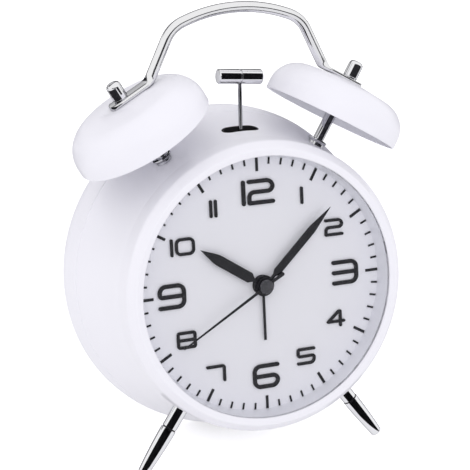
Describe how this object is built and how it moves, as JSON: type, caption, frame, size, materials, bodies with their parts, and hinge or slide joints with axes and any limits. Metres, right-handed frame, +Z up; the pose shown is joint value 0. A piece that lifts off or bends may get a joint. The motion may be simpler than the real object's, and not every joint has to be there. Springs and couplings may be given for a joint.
{
  "type": "twin-bell alarm clock",
  "caption": "Round twin-bell alarm clock: numeral dial, swinging hammer between two domed bells, arched carrying handle, angled legs and a rear battery bay.",
  "frame": {"origin": "on the floor, under the middle of the overall width and depth", "axes": "+X to the right as one reads the dial, +Y from the dial to the rear, +Z up; the clock leans back 7 degrees on its legs and rear rim"},
  "size_m": [0.1282, 0.0716, 0.1706],
  "materials": {
    "case_white": "smooth white, glossy",
    "surround_white": "satin pale blue-white",
    "lens_clear": "clear, polished",
    "dial_face": "matt pale lilac-white",
    "marking_black": "matt black",
    "chassis_grey": "moulded grey",
    "movement_black": "moulded black",
    "hand_black": "satin black",
    "arbor_steel": "turned or pressed steel",
    "cap_grey": "dark grey, glossy",
    "bell_enamel": "glossy white enamel",
    "post_chrome": "polished",
    "handle_chrome": "polished",
    "hammer_chrome": "polished",
    "leg_chrome": "polished",
    "liner_black": "matt black",
    "core_iron": "laminated iron",
    "coil_copper": "copper winding on a bobbin",
    "control_grey": "white, fine ridges",
    "battery_wrap": "printed sleeve",
    "screw_steel": "zinc plated"
  },
  "bodies": {
    "clock_case": {"case_drum": "case_white", "front_bezel": "case_white", "lens": "lens_clear", "dial_surround": "surround_white", "dial_plate": "dial_face", "movement_chassis": "chassis_grey", "minute_track": "marking_black", "hour_numerals": "marking_black", "movement_housing": "movement_black", "movement_screws": "arbor_steel", "bell_left": "bell_enamel", "bell_post_left": "post_chrome", "bell_right": "bell_enamel", "bell_post_right": "post_chrome", "post_collar_left": "post_chrome", "post_collar_right": "post_chrome", "post_nuts": "arbor_steel", "cap_nut_left": "post_chrome", "cap_nut_right": "post_chrome", "handle": "handle_chrome", "slot_liner": "liner_black", "hammer_bracket": "arbor_steel", "hammer_pivot_pin": "arbor_steel", "magnet_core": "core_iron", "magnet_coil": "coil_copper", "bracket_screws": "arbor_steel", "leg_left": "leg_chrome", "leg_right": "leg_chrome", "leg_studs": "arbor_steel", "rear_cover": "case_white", "batteries": "battery_wrap", "battery_contacts": "arbor_steel", "switch_tray": "chassis_grey", "cover_screws": "screw_steel"},
    "time_knob": {"time_knob": "control_grey"},
    "minute_hand": {"minute_hand": "hand_black", "minute_tube": "hand_black"},
    "hour_hand": {"hour_hand": "hand_black", "hour_tube": "hand_black"},
    "alarm_knob": {"alarm_knob": "control_grey"},
    "alarm_hand": {"alarm_hand": "hand_black", "alarm_tube": "hand_black"},
    "second_hand": {"second_hand": "hand_black", "second_arbor": "arbor_steel", "centre_cap": "cap_grey"},
    "hammer": {"hammer_yoke": "hammer_chrome", "hammer_rod": "hammer_chrome", "hammer_head": "hammer_chrome"},
    "alarm_switch": {"alarm_switch": "control_grey"},
    "battery_door": {"battery_door": "case_white"}
  },
  "joints": [
    {"name": "time_setting", "type": "hinge", "parent": "clock_case", "child": "time_knob", "pos_m": [-0.018, 0.02696, 0.07364], "axis": [0, 0.9925, -0.1219], "continuous": true},
    {"name": "minute_turn", "type": "hinge", "parent": "clock_case", "child": "minute_hand", "pos_m": [0, -0.02103, 0.06845], "axis": [0, 0.9925, -0.1219], "continuous": true},
    {"name": "hour_turn", "type": "hinge", "parent": "clock_case", "child": "hour_hand", "pos_m": [0, -0.02103, 0.06845], "axis": [0, 0.9925, -0.1219], "continuous": true},
    {"name": "alarm_setting", "type": "hinge", "parent": "clock_case", "child": "alarm_knob", "pos_m": [0.018, 0.02696, 0.07364], "axis": [0, 0.9925, -0.1219], "continuous": true},
    {"name": "alarm_turn", "type": "hinge", "parent": "clock_case", "child": "alarm_hand", "pos_m": [0, -0.02103, 0.06845], "axis": [0, 0.9925, -0.1219], "continuous": true},
    {"name": "second_turn", "type": "hinge", "parent": "clock_case", "child": "second_hand", "pos_m": [0, -0.02103, 0.06845], "axis": [0, 0.9925, -0.1219], "continuous": true},
    {"name": "hammer_swing", "type": "hinge", "parent": "clock_case", "child": "hammer", "pos_m": [0, -0.00091, 0.11333], "axis": [0, 0.9925, -0.1219], "range_deg": [-13.3, 10.1]},
    {"name": "alarm_on_off", "type": "slide", "parent": "clock_case", "child": "alarm_switch", "axis": [1, 0, 0], "range_m": [0, 0.004]},
    {"name": "door_swing", "type": "hinge", "parent": "clock_case", "child": "battery_door", "pos_m": [0, 0.01994, 0.02463], "axis": [-1, 0, 0], "range_deg": [0, 95]}
  ],
  "couplings": [
    {"joint": "minute_turn", "follows": "time_setting", "ratio": 1},
    {"joint": "hour_turn", "follows": "time_setting", "ratio": 0.083333},
    {"joint": "alarm_turn", "follows": "alarm_setting", "ratio": 1}
  ]
}
